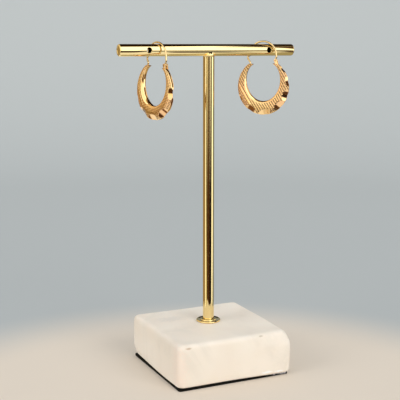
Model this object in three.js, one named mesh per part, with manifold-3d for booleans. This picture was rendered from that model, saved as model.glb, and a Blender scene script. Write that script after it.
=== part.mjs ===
// A pair of hollow creole hoop earrings hanging on a t-bar stand with a stone foot.
// Millimetres. The crossbar runs along X, the front faces -Y and Z is up. The origin is the
// middle of the underside.
import * as THREE from 'three';
import { mergeVertices } from 'three/addons/utils/BufferGeometryUtils.js';
import Module from 'manifold-3d';

const wasm = await Module();
wasm.setup();

// Driving dimensions
const PAD = { width: 50.6, depth: 49.8, height: 1.0, corner: 2.6 };
const BLOCK = { width: 51.2, depth: 50.4, height: 18.2, corner: 3.2, edge: 1.3, shift: -0.8 };
const POST = { radius: 2.42, y: 2.5, bore: 1.82, seatDepth: 14, clearance: 0.3 };
const FLANGE = { radius: 5.3, base: 0.5, rim: 0.8, collar: 1.0, collarRadius: 3.4 };
const BAR = { length: 81.4, radius: 2.5, bore: 1.9, axisHeight: 136.4, endWall: 1.2, endRound: 0.5 };
const FLARE = { radius: 2.9, height: 1.4 };
const CROSS_HOLE = { radius: 1.15, x: 27.65 };

// Each hoop lies in its own plane: X across it, Z up from the crossbar's axis, Y along the hoop's
// axis. Two ellipses bound the crescent, and its stations are angles from the lowest point, taken
// round the hub.
const OUTER = { across: 11.25, down: 12.06, centre: -16.04 };
const INNER = { across: 7.41, down: 9.22, centre: -12.94 };
const HOOP = {
  hub: -14.5,
  leastWidth: 1.35,
  thickness: 3.4,
  endThickness: 2.0,
  reach: 152,
  endHeight: -6.1,
  trim: 20,
  wall: 0.26,
  rimWallShare: 0.2,
  squareness: 2.7,
  stations: 60,
  sides: 12,
};
const CAVITY = { from: -152, to: 128, stations: 28, sides: 8 };
const MOUTH = { x: -5.6, radius: 0.6, lean: 20, depth: 0.8 };

// Flat cuts along both outer edges of the crescent, at angles from the lowest point
const RIM_CUT = { first: -120, pitch: 31, count: 9, inset: 0.34, rimShare: 0.15 };
const CUTTER = { length: 9, width: 5, height: 4 };

const HINGE = { x: 5.5, z: -4.85, pinRadius: 0.28, pinHalf: 1.02 };
const LUG = { inside: 0.55, outside: 0.95, radius: 0.85, bore: 0.42 };
const LUG_FOOT = { x: 6.1, z: -6.6, radius: 0.45 };
const EYE = { radius: 0.85, bore: 0.45, halfThickness: 0.35 };
const WIRE = { radius: 0.38, archRadius: 5.75, halfSides: 4, steps: 48, archSteps: 10 };

// The ear wire's legs in the hoop's plane: the near one stands on the eye, and the far one bows out
// from the arch to a knee, before its tip turns into the catch
const NEAR_LEG = [
  { x: 5.5, z: -4.25 },
  { x: 5.6, z: -3.9 },
  { x: 5.85, z: -3.3 },
];
const BOW = [
  { x: -6.55, z: -3.1 },
  { x: -6.5, z: -3.8 },
  { x: -5.8, z: -5.1 },
];
const TIP = [
  { x: -5.6, z: -5.7 },
  { x: -5.72, z: -6.3 },
];

// How each earring hangs: place along the bar, turn about the vertical, tilt in its own plane,
// sideways and downward shift, and how its hand-bent wire differs: the height of the arch's
// centre and how far the bow is pressed in
const EARRINGS = [
  { side: 'left', along: -23.2, turn: 73.1, tilt: 5.8, shift: 0, drop: 0.6, arch: -1.95, press: 0.3 },
  { side: 'right', along: 26.1, turn: 41, tilt: -1.3, shift: -0.2, drop: -0.3, arch: -2.4, press: -0.1 },
];

// Materials
const brass = new THREE.MeshStandardMaterial({ color: 0xd9b95a, roughness: 0.16, metalness: 1 });
const gold = new THREE.MeshStandardMaterial({ color: 0xdf9c50, roughness: 0.24, metalness: 1 });
const marble = new THREE.MeshStandardMaterial({ color: 0xeee7dc, roughness: 0.55, metalness: 0 });
const rubber = new THREE.MeshStandardMaterial({ color: 0x15130f, roughness: 0.85, metalness: 0 });

const radians = THREE.MathUtils.degToRad;

// Boolean helpers
function toSolid(geometry) {
  const bare = geometry.clone();
  bare.deleteAttribute('normal');
  bare.deleteAttribute('uv');
  const merged = mergeVertices(bare, 1e-5);
  return new wasm.Manifold(new wasm.Mesh({
    numProp: 3,
    vertProperties: new Float32Array(merged.attributes.position.array),
    triVerts: new Uint32Array(merged.index.array),
  }));
}

function toGeometry(solid) {
  const mesh = solid.getMesh();
  const geometry = new THREE.BufferGeometry();
  geometry.setAttribute('position', new THREE.BufferAttribute(mesh.vertProperties, 3));
  geometry.setIndex(new THREE.BufferAttribute(mesh.triVerts, 1));
  geometry.computeVertexNormals();
  return geometry;
}

// Basic shapes
function roundedSquare({ width, depth, corner }, inset = 0) {
  const x = width / 2 - inset;
  const y = depth / 2 - inset;
  const r = corner - inset;
  const shape = new THREE.Shape();
  shape.absarc(x - r, y - r, r, 0, Math.PI / 2);
  shape.absarc(r - x, y - r, r, Math.PI / 2, Math.PI);
  shape.absarc(r - x, r - y, r, Math.PI, Math.PI * 1.5);
  shape.absarc(x - r, r - y, r, Math.PI * 1.5, Math.PI * 2);
  shape.closePath();
  return shape;
}

// A cylinder of revolution along Z between two heights
function rod(radius, from, to, segments) {
  const geometry = new THREE.CylinderGeometry(radius, radius, to - from, segments);
  geometry.rotateX(Math.PI / 2);
  geometry.translate(0, 0, (from + to) / 2);
  return geometry;
}

// A closed skin swept through rings of points, with a fan at each end
function sweptSkin(stations, sides, pointAt) {
  const positions = [];
  const indices = [];
  for (let i = 0; i <= stations; i += 1) {
    for (let j = 0; j < sides; j += 1) {
      positions.push(...pointAt(i / stations, (j / sides) * Math.PI * 2).toArray());
    }
  }
  const corner = (i, j) => i * sides + (j % sides);
  for (let i = 0; i < stations; i += 1) {
    for (let j = 0; j < sides; j += 1) {
      indices.push(corner(i, j), corner(i, j + 1), corner(i + 1, j));
      indices.push(corner(i, j + 1), corner(i + 1, j + 1), corner(i + 1, j));
    }
  }
  for (let j = 1; j < sides - 1; j += 1) {
    indices.push(corner(0, 0), corner(0, j + 1), corner(0, j));
    indices.push(corner(stations, 0), corner(stations, j), corner(stations, j + 1));
  }
  const geometry = new THREE.BufferGeometry();
  geometry.setAttribute('position', new THREE.Float32BufferAttribute(positions, 3));
  geometry.setIndex(indices);
  return geometry;
}

// Stand
const blockTop = PAD.height + BLOCK.height;
const seatHeight = blockTop - POST.seatDepth;
const seatRadius = POST.radius + POST.clearance;

function makePad() {
  const geometry = new THREE.ExtrudeGeometry(roundedSquare(PAD), {
    depth: PAD.height,
    bevelEnabled: false,
    curveSegments: 5,
  });
  geometry.translate(BLOCK.shift, 0, 0);
  return geometry;
}

function makeBlock() {
  const block = new THREE.ExtrudeGeometry(roundedSquare(BLOCK, BLOCK.edge), {
    depth: BLOCK.height - 2 * BLOCK.edge,
    bevelThickness: BLOCK.edge,
    bevelSize: BLOCK.edge,
    bevelSegments: 3,
    curveSegments: 5,
  });
  block.translate(BLOCK.shift, 0, PAD.height + BLOCK.edge);
  const bore = rod(seatRadius, seatHeight, blockTop + 1, 24);
  bore.translate(0, POST.y, 0);
  return toGeometry(toSolid(block).subtract(toSolid(bore)));
}

function makeFlange() {
  const { radius, base, rim, collar, collarRadius } = FLANGE;
  const profile = [
    [seatRadius, 0],
    [radius - 0.2, 0],
    [radius, 0.2],
    [radius - 0.05, rim - 0.2],
    [radius - 0.4, rim],
    [radius - 0.85, base + 0.1],
    [collarRadius + 0.3, base],
    [collarRadius, collar - 0.15],
    [collarRadius - 0.25, collar],
    [seatRadius, collar],
    [seatRadius, 0],
  ].map(([r, z]) => new THREE.Vector2(r, z));
  const geometry = new THREE.LatheGeometry(profile, 40);
  geometry.rotateX(Math.PI / 2);
  geometry.translate(0, POST.y, blockTop);
  return toGeometry(toSolid(geometry));
}

function makeTBar() {
  const half = BAR.length / 2;
  const round = BAR.endRound;
  const profile = [
    [0, -half],
    [BAR.radius - round, -half],
    [BAR.radius - round * 0.3, -half + round * 0.3],
    [BAR.radius, -half + round],
    [BAR.radius, half - round],
    [BAR.radius - round * 0.3, half - round * 0.3],
    [BAR.radius - round, half],
    [0, half],
  ].map(([r, z]) => new THREE.Vector2(r, z));
  const place = (geometry) => toSolid(geometry.translate(0, POST.y, BAR.axisHeight));
  const alongBar = (geometry) => place(geometry.rotateZ(Math.PI / 2));
  const bar = alongBar(new THREE.LatheGeometry(profile, 40));
  const barBore = alongBar(new THREE.CylinderGeometry(BAR.bore, BAR.bore, 2 * (half - BAR.endWall), 20));
  const post = place(rod(POST.radius, seatHeight - BAR.axisHeight, 0, 36));
  const postBore = place(rod(POST.bore, seatHeight - BAR.axisHeight - 1, 0, 20));
  const flareTop = -BAR.radius * 0.8;
  const flareShape = new THREE.CylinderGeometry(FLARE.radius, POST.radius - 0.01, FLARE.height, 36);
  const flare = place(flareShape.rotateX(Math.PI / 2).translate(0, 0, flareTop - FLARE.height / 2));
  let body = bar.add(post).add(flare).subtract(barBore).subtract(postBore);
  for (const x of [-CROSS_HOLE.x, CROSS_HOLE.x]) {
    const drill = new THREE.CylinderGeometry(CROSS_HOLE.radius, CROSS_HOLE.radius, 4 * BAR.radius, 20);
    body = body.subtract(place(drill.translate(x, 0, 0)));
  }
  return toGeometry(body);
}

// The distance from the hub to an ellipse, at an angle from the lowest point
function reachOf({ across, down, centre }, angle) {
  const offset = HOOP.hub - centre;
  const a = (Math.sin(angle) / across) ** 2 + (Math.cos(angle) / down) ** 2;
  const b = (-2 * offset * Math.cos(angle)) / down ** 2;
  const c = (offset / down) ** 2 - 1;
  return (-b + Math.sqrt(b * b - 4 * a * c)) / (2 * a);
}

// The crescent's section at an angle in degrees, from the catch end (-) to the hinge end (+)
function crescentSection(degrees) {
  const angle = radians(degrees);
  const outerReach = reachOf(OUTER, angle);
  const gap = Math.max(outerReach - reachOf(INNER, angle), 0);
  const width = (gap ** 4 + HOOP.leastWidth ** 4) ** 0.25;
  const fullness = 0.5 + 0.5 * Math.cos(angle);
  return {
    ray: new THREE.Vector3(Math.sin(angle), 0, -Math.cos(angle)),
    outerReach,
    width,
    halfThickness: (HOOP.endThickness + (HOOP.thickness - HOOP.endThickness) * fullness) / 2,
  };
}

// A point of the section's outline, with walls of a given thickness left outside it
function crescentPoint(degrees, turn, wall = 0, rimWall = 0) {
  const { ray, outerReach, width, halfThickness } = crescentSection(degrees);
  const squared = (value) => Math.sign(value) * Math.abs(value) ** (2 / HOOP.squareness);
  const halfWidth = (width - wall - rimWall) / 2;
  const outward = outerReach - rimWall - halfWidth + halfWidth * squared(Math.cos(turn));
  const point = new THREE.Vector3(0, (halfThickness - wall) * squared(Math.sin(turn)), HOOP.hub);
  return point.addScaledVector(ray, outward);
}

// A block whose lower face lies on the flat cut at an angle, on the front (-1) or back (1) edge
function rimCutter(degrees, face) {
  const { ray, outerReach, width, halfThickness } = crescentSection(degrees);
  const rim = new THREE.Vector3(0, 0, HOOP.hub).addScaledVector(ray, outerReach);
  const outward = new THREE.Vector3(rim.x / OUTER.across ** 2, 0, (rim.z - OUTER.centre) / OUTER.down ** 2);
  outward.normalize();
  const sideways = new THREE.Vector3(0, face, 0);
  const onFace = rim.clone()
    .addScaledVector(outward, -width * RIM_CUT.inset)
    .addScaledVector(sideways, halfThickness);
  const onRim = rim.clone().addScaledVector(sideways, halfThickness * RIM_CUT.rimShare);
  const slope = onRim.clone().sub(onFace).normalize();
  const along = new THREE.Vector3().crossVectors(outward, sideways);
  const up = new THREE.Vector3().crossVectors(along, slope);
  const cutter = new THREE.BoxGeometry(CUTTER.length, CUTTER.width, CUTTER.height);
  cutter.translate(0, 0, CUTTER.height / 2);
  const turned = new THREE.Matrix4().makeBasis(along, slope, up);
  cutter.applyMatrix4(turned.setPosition(onFace.add(onRim).multiplyScalar(0.5)));
  return toSolid(cutter);
}

// One of the two plates that hold the hinge pin
function lugPlate(face) {
  const top = new THREE.Vector2(HINGE.x, HINGE.z);
  const foot = new THREE.Vector2(LUG_FOOT.x, LUG_FOOT.z);
  const down = Math.atan2(foot.y - top.y, foot.x - top.x);
  const shape = new THREE.Shape();
  shape.absarc(top.x, top.y, LUG.radius, down + Math.PI / 2, down + Math.PI * 1.5);
  shape.absarc(foot.x, foot.y, LUG_FOOT.radius, down - Math.PI / 2, down + Math.PI / 2);
  shape.closePath();
  const hole = new THREE.Path();
  hole.absarc(top.x, top.y, LUG.bore, 0, Math.PI * 2);
  shape.holes.push(hole);
  const depth = LUG.outside - LUG.inside;
  const plate = new THREE.ExtrudeGeometry(shape, { depth, bevelEnabled: false, curveSegments: 8 });
  plate.rotateX(Math.PI / 2);
  plate.translate(0, face > 0 ? LUG.outside : -LUG.inside, 0);
  return toSolid(plate);
}

// The opening in the catch end that takes the tip of the ear wire
function mouthCutter() {
  const pocket = new THREE.CylinderGeometry(MOUTH.radius, MOUTH.radius, 2 * MOUTH.depth, 12);
  pocket.rotateY(Math.PI / 12);
  pocket.rotateX(Math.PI / 2);
  pocket.rotateY(radians(MOUTH.lean));
  pocket.translate(MOUTH.x, 0, HOOP.endHeight);
  return toSolid(pocket);
}

function makeHoop() {
  const { reach, stations, sides, trim } = HOOP;
  let body = toSolid(sweptSkin(stations, sides, (s, turn) => crescentPoint(reach * (2 * s - 1), turn)));
  for (let n = 0; n < RIM_CUT.count; n += 1) {
    const angle = RIM_CUT.first + RIM_CUT.pitch * n;
    body = body.subtract(rimCutter(angle, -1)).subtract(rimCutter(angle, 1));
  }
  const above = new THREE.BoxGeometry(trim, trim, trim).translate(0, 0, HOOP.endHeight + trim / 2);
  body = body.subtract(toSolid(above)).add(lugPlate(-1)).add(lugPlate(1));
  const cavity = sweptSkin(CAVITY.stations, CAVITY.sides, (s, turn) => {
    const angle = CAVITY.from + (CAVITY.to - CAVITY.from) * s;
    return crescentPoint(angle, turn, HOOP.wall, HOOP.rimWallShare * crescentSection(angle).width);
  });
  return toGeometry(body.subtract(toSolid(cavity)).subtract(mouthCutter()));
}

// The ear wire: an eye on the hinge pin, an arch over the crossbar and the far leg into the catch
function makeEarWire(archHeight, press) {
  const points = [...NEAR_LEG];
  for (let n = 0; n <= WIRE.archSteps; n += 1) {
    const angle = (Math.PI * n) / WIRE.archSteps;
    points.push({
      x: WIRE.archRadius * Math.cos(angle),
      z: archHeight + WIRE.archRadius * Math.sin(angle),
    });
  }
  points.push(...BOW.map(({ x, z }) => ({ x: x + press, z })), ...TIP);
  const route = new THREE.CatmullRomCurve3(points.map(({ x, z }) => new THREE.Vector3(x, 0, z)));
  const section = new THREE.Shape();
  section.absarc(0, 0, WIRE.radius, 0, Math.PI * 2);
  const wire = new THREE.ExtrudeGeometry(section, {
    steps: WIRE.steps,
    extrudePath: route,
    curveSegments: WIRE.halfSides,
  });
  const { radius, bore, halfThickness } = EYE;
  const eyeShape = new THREE.Shape();
  eyeShape.absarc(0, 0, radius, 0, Math.PI * 2);
  const eyeHole = new THREE.Path();
  eyeHole.absarc(0, 0, bore, 0, Math.PI * 2);
  eyeShape.holes.push(eyeHole);
  const eye = new THREE.ExtrudeGeometry(eyeShape, {
    depth: 2 * halfThickness,
    bevelEnabled: false,
    curveSegments: 16,
  });
  eye.rotateX(Math.PI / 2);
  eye.translate(HINGE.x, halfThickness, HINGE.z);
  return toGeometry(toSolid(wire).add(toSolid(eye)));
}

function makeHingePin() {
  const pin = new THREE.CylinderGeometry(HINGE.pinRadius, HINGE.pinRadius, 2 * HINGE.pinHalf, 12);
  pin.translate(HINGE.x, 0, HINGE.z);
  return pin;
}

// Assembly
function named(name, geometry, material) {
  const mesh = new THREE.Mesh(geometry, material);
  mesh.name = name;
  return mesh;
}

function makeEarring({ side, along, turn, tilt, shift, drop, arch, press }) {
  const hung = new THREE.Group();
  hung.add(
    named(`hoop_${side}`, makeHoop(), gold),
    named(`ear_wire_${side}`, makeEarWire(arch, press), gold),
    named(`hinge_pin_${side}`, makeHingePin(), gold),
  );
  hung.position.set(shift, 0, -drop);
  hung.rotation.y = radians(tilt);
  const turned = new THREE.Group();
  turned.add(hung);
  turned.rotation.z = -radians(turn);
  turned.position.set(along, POST.y, BAR.axisHeight);
  return turned;
}

const stand = new THREE.Group();
stand.add(
  named('base_pad', makePad(), rubber),
  named('marble_base', makeBlock(), marble),
  named('foot_flange', makeFlange(), brass),
  named('t_bar', makeTBar(), brass),
);

const object = new THREE.Group();
object.add(stand, ...EARRINGS.map(makeEarring));

export default object;
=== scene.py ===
"""Dresses a pair of gold creole earrings on their brass T-bar stand with a marble foot."""

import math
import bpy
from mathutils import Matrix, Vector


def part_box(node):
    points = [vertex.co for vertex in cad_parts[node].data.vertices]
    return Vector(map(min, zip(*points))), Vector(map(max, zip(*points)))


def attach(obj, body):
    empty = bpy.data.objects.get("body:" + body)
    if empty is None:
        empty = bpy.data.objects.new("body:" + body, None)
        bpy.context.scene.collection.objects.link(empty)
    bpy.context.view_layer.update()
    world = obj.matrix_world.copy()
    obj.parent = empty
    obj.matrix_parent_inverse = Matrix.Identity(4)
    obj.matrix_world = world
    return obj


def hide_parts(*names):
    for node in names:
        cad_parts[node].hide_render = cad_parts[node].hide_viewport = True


bl_info = {
    "name": "Earring Stand",
    "version": (1, 0, 0),
    "blender": (4, 5, 0),
    "location": "3D View > Sidebar > Earrings",
    "description": "Models and finishes a pair of creole earrings on a T-bar stand",
    "category": "Object",
}

import bmesh
import bpy
import numpy as np
from bpy.props import FloatProperty, FloatVectorProperty, IntProperty, PointerProperty
from mathutils import Matrix, Vector

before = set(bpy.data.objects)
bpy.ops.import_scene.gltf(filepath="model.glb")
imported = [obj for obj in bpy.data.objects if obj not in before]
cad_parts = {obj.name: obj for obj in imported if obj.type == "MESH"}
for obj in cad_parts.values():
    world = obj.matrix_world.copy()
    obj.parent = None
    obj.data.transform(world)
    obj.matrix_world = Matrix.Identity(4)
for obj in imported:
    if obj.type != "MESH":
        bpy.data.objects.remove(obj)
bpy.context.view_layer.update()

MM = 0.001
BODY = "stand"

# The pieces' boxes in the frame, and the crossbar and post in metres
bar_low, bar_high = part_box("t_bar")
block_low, block_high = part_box("marble_base")
pad_low, pad_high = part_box("base_pad")
flange_low, flange_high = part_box("foot_flange")
BAR_RADIUS = 2.5 * MM
END_TRIM = 0.5 * MM
BAR_HALF = (bar_high.x - bar_low.x) / 2 - END_TRIM
AXIS_HEIGHT = bar_high.z - BAR_RADIUS
POST_Y = (bar_high.y + bar_low.y) / 2
BLOCK_TOP = block_high.z
POST_RADIUS = 2.42 * MM
TUBE_BORE = 1.9 * MM
END_WALL = 1.2 * MM
CROSS_HOLE = {"radius": 1.219 * MM, "x": 27.65 * MM}
SEAT_RADIUS = POST_RADIUS + 0.3 * MM

# How near a middle has to be to count as level with a face
TOLERANCE = 0.01 * MM
# How far the socket's drill stands out, and how many radii or walls long the others are
OVERSHOOT = 4 * MM
THROUGH = 4

# The sunk cap in each end of the crossbar: its rim, its step and the step's depth
END_CAP = {"rim": 0.35 * MM, "step": 0.1 * MM, "depth": 0.12 * MM}
# The solder under the crossbar: shares of the bar's radius for its top, of the post's for its
# inside and of its own width for its height, and how far it reaches into the post
SOLDER = {"top": 0.86, "inside": 0.5, "height": 1.3, "overlap": 0.01 * MM, "steps": 8}

# The flange's rounded rim, and the points inwards from it in millimetres: in from the edge and
# up, out from the post and up, out from the post and down from the top
FLANGE_RIM = {"inset": 0.2 * MM, "radius": 0.36 * MM, "lift": 0.04 * MM, "turns": 1.1, "steps": 8}
FLANGE_DISH = ((0.95, 0.52), (1.3, 0.47))
FLANGE_STEP = ((1.1, 0.5), (0.95, 0.6))
FLANGE_COLLAR = ((0.9, 0.16), (0.8, 0.04), (0.65, 0))

# The pad's corners and edges, and the block's lower edges as a share of its upper ones
PAD_CORNER = 0.8 * MM
PAD_EDGE = 0.12 * MM
LOWER_EDGE = 0.4

# The block's uneven outline in millimetres: how far its faces belly, how far two corners stand
# out, and how much of that they lose from which share of the half height on; the span is where
# on the diagonal, with the corner at 2, a corner starts and is full
BELLY = 0.35
CORNER_SPAN = (1.0, 1.9)
CORNER_RIGHT = {"out": 0.75, "loss": 1.5, "from": 0.3}
CORNER_LEFT = {"out": 0.3, "loss": 0.9, "from": 0.45}
WAVES = (((190, 60, 150), 0.4), ((-70, 230, 90), 1.9), ((120, -140, 260), 3.1))

# A hoop in its own plane, in millimetres and degrees: X across it, Z up from the crossbar's axis
OUTER = {"across": 11.25, "down": 12.06, "centre": -16.04}
INNER = {"across": 7.41, "down": 9.22, "centre": -12.94}
HUB = -14.5
REACH = 152
LEAST_WIDTH = 1.35
THICKNESS = 3.4
END_THICKNESS = 2.0
END_HEIGHT = -6.1
TRIM = 20
SQUARENESS = 2.7
SPIN = {"radius": 9.0, "tube": 3.0}
MOUTH = {"x": -5.6, "radius": 0.6, "lean": 20, "depth": 0.8}
HINGE = {"x": 5.5, "z": -4.85}
LUG = {"inside": 0.55, "outside": 0.9, "radius": 0.66, "bore": 0.38, "round": 0.08}
LUG_FOOT = {"x": 6.1, "z": -6.6, "radius": 0.5}
PIN = {"radius": 0.28, "half": 1.0, "round": 0.12}
EYE = {"ring": 0.52, "wire": 0.18, "flatness": 1.9}
WIRE_RADIUS = 0.38
ARCH_RADIUS = 5.75
ARCH_STEPS = 10
NEAR_LEG = ((5.5, -4.25), (5.6, -3.9), (5.85, -3.3))
BOW = ((-6.55, -3.1), (-6.5, -3.8), (-5.8, -5.1))
TIP = ((-5.6, -5.7), (-5.72, -6.3))

# The scoops along both outer edges: the angle from the lowest point, how far in over the face
# each starts as a share of the width, and how near to the rim's middle it ends
LOW_SCOOPS = (
    (-120, 0.10, 0.45), (-91, 0.12, 0.42), (-60, 0.22, 0.30), (-27, 0.40, 0.02), (4, 0.41, 0),
    (37, 0.43, 0),
)
# The worked band over a face, from -1 at its inner edge to 1 at its outer one, and how far round
# the section it starts; on the left arm it is narrower, between these angles in radians
BAND = {"inner": -0.80, "soft": 0.08, "outer": (0.90, 0.96), "sides": (0.35, 0.5)}
NARROW = {"by": 0.32, "in": (-0.3, 1.2), "out": (-2.2, -1.2)}
# The smooth stripe between the fine net and the ridges, as a distance across the ridges
STRIPE = {"place": -16.6, "half": 0.5, "core": 0.7, "net_pitch": 0.62, "net_depth": 0.85}
# How sharp the ridges are, and how strongly the two kinds of cut lay painted shade on the gold
SHARPNESS = 1.1
GROOVE_SHADING = {"ridge": 1.2, "cross": 0.4, "less": 0.25}

# How each earring hangs on the bar, and how its wire differs
EARRINGS = (
    {"side": "left", "along": -23.2, "turn": 73.1, "tilt": 5.8, "shift": 0, "drop": 0.6,
     "arch": -1.95, "press": 0.3, "ridge": 0.35, "cross": 1.7,
     "scoops": (*LOW_SCOOPS, (84, 0.38, 0))},
    {"side": "right", "along": 26.1, "turn": 41, "tilt": -1.3, "shift": -0.2, "drop": -0.3,
     "arch": -2.4, "press": -0.1, "ridge": 1.0, "cross": 1.2,
     "scoops": (*LOW_SCOOPS, (63, 0.43, 0), (94, 0.32, -0.08), (124, 0.27, -0.04))},
)

# Marks of wear on the block and the pad: place and size in millimetres, colour and strength
STONE_MARKS = (
    ((-22.2, -25.2, 17.8), (1.5, 1.5, 0.4), (0.42, 0.26, 0.13), 0.65),
    ((11.2, -24.6, 18.3), (1.4, 1.5, 0.3), (0.40, 0.31, 0.20), 0.5),
    ((14.0, -26.0, 2.6), (3.0, 1.5, 0.5), (1.0, 1.0, 1.0), 0.9),
    ((20.0, -26.0, 2.3), (3.0, 1.5, 0.5), (1.0, 1.0, 1.0), 0.9),
    ((-14.1, 11.2, 19.2), (7.0, 4.0, 3.0), (0.62, 0.62, 0.60), 0.3),
    ((-26.4, -24.0, 9.0), (5.0, 5.0, 14.0), (0.92, 0.72, 0.62), 0.3),
)
PAD_MARKS = (
    ((20.5, -26.4, pad_high.z / MM), (5.0, 3.0, 0.8), (0.50, 0.49, 0.52), 1.0),
)

# Where most values of a noise texture lie, and how the edge of a mark frays and fades
NOISE_SPAN = (0.3, 0.7)
FRAY = (-0.4, 0.4)
FADE = (0.4, 1.1)
# What is left of the brightness of smudged brass, of gold under the painted shade in its grooves,
# and of clouded wire
SMUDGED = 0.94
GROOVE_SHADE_SHARE = 0.2
CLOUDED = 0.8
# The brass's roughness from clean to smudged, as shares of the setting
POLISH = (0.7, 1.5)
# How strongly the gold blushes in patches and over the net
PATCH_BLUSH = 0.7
NET_BLUSH = 0.75

# The photograph's view: the camera's place, its heading and pitch in degrees, its lens and sensor
CAMERA_PLACE = (-167.98 * MM, -346.98 * MM, 138.67 * MM)
CAMERA_HEADING = 25.13
CAMERA_PITCH = 9.64
CAMERA_LENS = 82.36
SENSOR = 36

# The middle of the warmer, paler patch of floor, partly the warm table before a grey wall and
# partly a painted pool of light, and how far it spreads before and after it fades
PAINTED_POOL_PLACE = (-0.026, -0.055, 0)
PAINTED_POOL_SPREAD = (0.105, 0.165)

# The soft lights: heading right of the view and height in degrees, colour, and how wide they are
KEY_LIGHT = (42, 24, (1.0, 0.95, 0.88))
FILL_LIGHT = (-58, 22, (1.0, 0.95, 0.89))
SUN_WIDTH = 38

# The room that the metal mirrors, from the back to the front: headings from left to right of the
# view, heights from low to high, softness, all in degrees, and the light there
ROOM_DARK = (0.006, 0.005, 0.004)
ROOM = (
    (-200, 200, -100, 26, 3, (0.28, 0.30, 0.32)),
    (-200, 200, -100, -23, 2, (0.42, 0.38, 0.25)),
    (-150, -72, -24, 6, 4, (0.38, 0.27, 0.12)),
    (-150, -72, 5, 62, 4, (0.95, 0.78, 0.50)),
    (-200, 79, -100, -23, 1.5, (1.05, 1.03, 1.00)),
    (66, 112, -40, -18, 2, (0.10, 0.05, 0.02)),
    (-72, 98, -4.5, 63, 1.2, (2.0, 2.0, 1.95)),
    (-64, 14, -4, 63, 3, (1.45, 1.40, 1.25)),
    (66, 96, 8, 48, 2, (0.10, 0.05, 0.02)),
    (76, 96, 40, 56, 2, (0.10, 0.05, 0.02)),
    (98, 140, 2, 33, 2, (1.3, 1.2, 1.0)),
    (97, 180, 34, 80, 2, (0.03, 0.015, 0.006)),
    (-71, -57, -24, -3, 1.2, (1.7, 1.7, 1.6)),
    (68, 92, -18, -3, 1.5, (1.9, 1.9, 1.8)),
    (-104, -78, -68, -30, 3, (0.20, 0.10, 0.04)),
    (-53, 49, -24, -5.8, 1.0, (0.02, 0.012, 0.008)),
    (48, 65, -17, -5.8, 1.0, (0.02, 0.012, 0.008)),
    (-50, 48, -40, -22, 1.5, (0.09, 0.045, 0.02)),
    (-60, -34, -24, -14.5, 1.5, (0.85, 0.75, 0.45)),
    (-28, 15, -24, -6.0, 2, (0.085, 0.035, 0.012)),
    (-48, -8, -9.2, 2, 2, (1.45, 1.30, 0.95)),
    (19, 44, -9.4, 2, 2, (2.0, 1.95, 1.8)),
)


def in_mm(name, description, default, low, high):
    """A length property, whose values are given in millimetres."""
    return FloatProperty(
        name=name, description=description, default=default * MM, min=low * MM, max=high * MM,
        unit="LENGTH", precision=5)


class BrassSettings(bpy.types.PropertyGroup):
    """The polished brass of the stand"""

    colour: FloatVectorProperty(
        name="Brass", description="Colour of the polished brass", subtype="COLOR",
        default=(0.90, 0.72, 0.36), min=0, max=1)
    roughness: FloatProperty(
        name="Roughness", description="How far the polish scatters a reflection",
        default=0.07, min=0, max=1, subtype="FACTOR")
    end_round: in_mm(
        "End rounding", "Rounding of the crossbar's end edges", default=0.6, low=0.1, high=1)
    fillet: in_mm(
        "Solder fillet", "How far the solder runs out under the crossbar",
        default=0.55, low=0.2, high=2)


class GoldSettings(bpy.types.PropertyGroup):
    """The gold of the earrings and the work on it"""

    colour: FloatVectorProperty(
        name="Gold", description="Colour of the bright gold", subtype="COLOR",
        default=(0.93, 0.64, 0.31), min=0, max=1)
    blush: FloatVectorProperty(
        name="Blush", description="Redder colour that the gold takes in places", subtype="COLOR",
        default=(0.88, 0.50, 0.26), min=0, max=1)
    wire: FloatVectorProperty(
        name="Wire gold", description="Paler gold of the ear wires", subtype="COLOR",
        default=(0.86, 0.66, 0.36), min=0, max=1)
    ridge_pitch: in_mm(
        "Ridge pitch", "Distance from one slanted ridge to the next", default=1.0, low=0.4, high=3)
    ridge_depth: in_mm(
        "Ridge depth", "Depth of the grooves between the slanted ridges",
        default=0.16, low=0, high=0.3)
    cross_pitch: in_mm(
        "Cross cut pitch", "Distance from one level cut to the next", default=0.62, low=0.2, high=2)
    cross_depth: in_mm(
        "Cross cut depth", "Depth of the fine level cuts", default=0.07, low=0, high=0.2)
    ridge_lean: FloatProperty(
        name="Ridge lean", description="Angle of the ridges from the level",
        default=math.radians(60), min=0, max=math.pi / 2, subtype="ANGLE")
    scoop_radius: in_mm(
        "Scoop radius", "Radius of the cutter that scoops the outer edges",
        default=8.0, low=3, high=20)
    scoop_depth: in_mm(
        "Scoop depth", "How far the scoops go below a flat cut", default=0.12, low=0, high=0.5)
    stations: IntProperty(
        name="Stations", description="Steps of the crescent's mesh along it",
        default=560, min=60, max=800)
    sides: IntProperty(
        name="Sides", description="Points round the crescent's section",
        default=120, min=24, max=160)


class StoneSettings(bpy.types.PropertyGroup):
    """The marble block and the pad under it"""

    colour: FloatVectorProperty(
        name="Marble", description="Ground colour of the marble", subtype="COLOR",
        default=(0.90, 0.83, 0.74), min=0, max=1)
    tinge: FloatVectorProperty(
        name="Tinge", description="Warmer colour of the marble's clouds", subtype="COLOR",
        default=(0.87, 0.78, 0.68), min=0, max=1)
    vein: FloatVectorProperty(
        name="Vein", description="Colour of the faint veins", subtype="COLOR",
        default=(0.66, 0.62, 0.55), min=0, max=1)
    corner: in_mm(
        "Corner", "Rounding of the upright edges", default=2.6, low=1, high=8)
    edge: in_mm(
        "Edge", "Rounding of the worn upper and lower edges", default=1.9, low=0.3, high=4)
    waviness: in_mm(
        "Waviness", "How far the hand-finished faces stray from flat", default=0.35, low=0, high=1)


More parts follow.
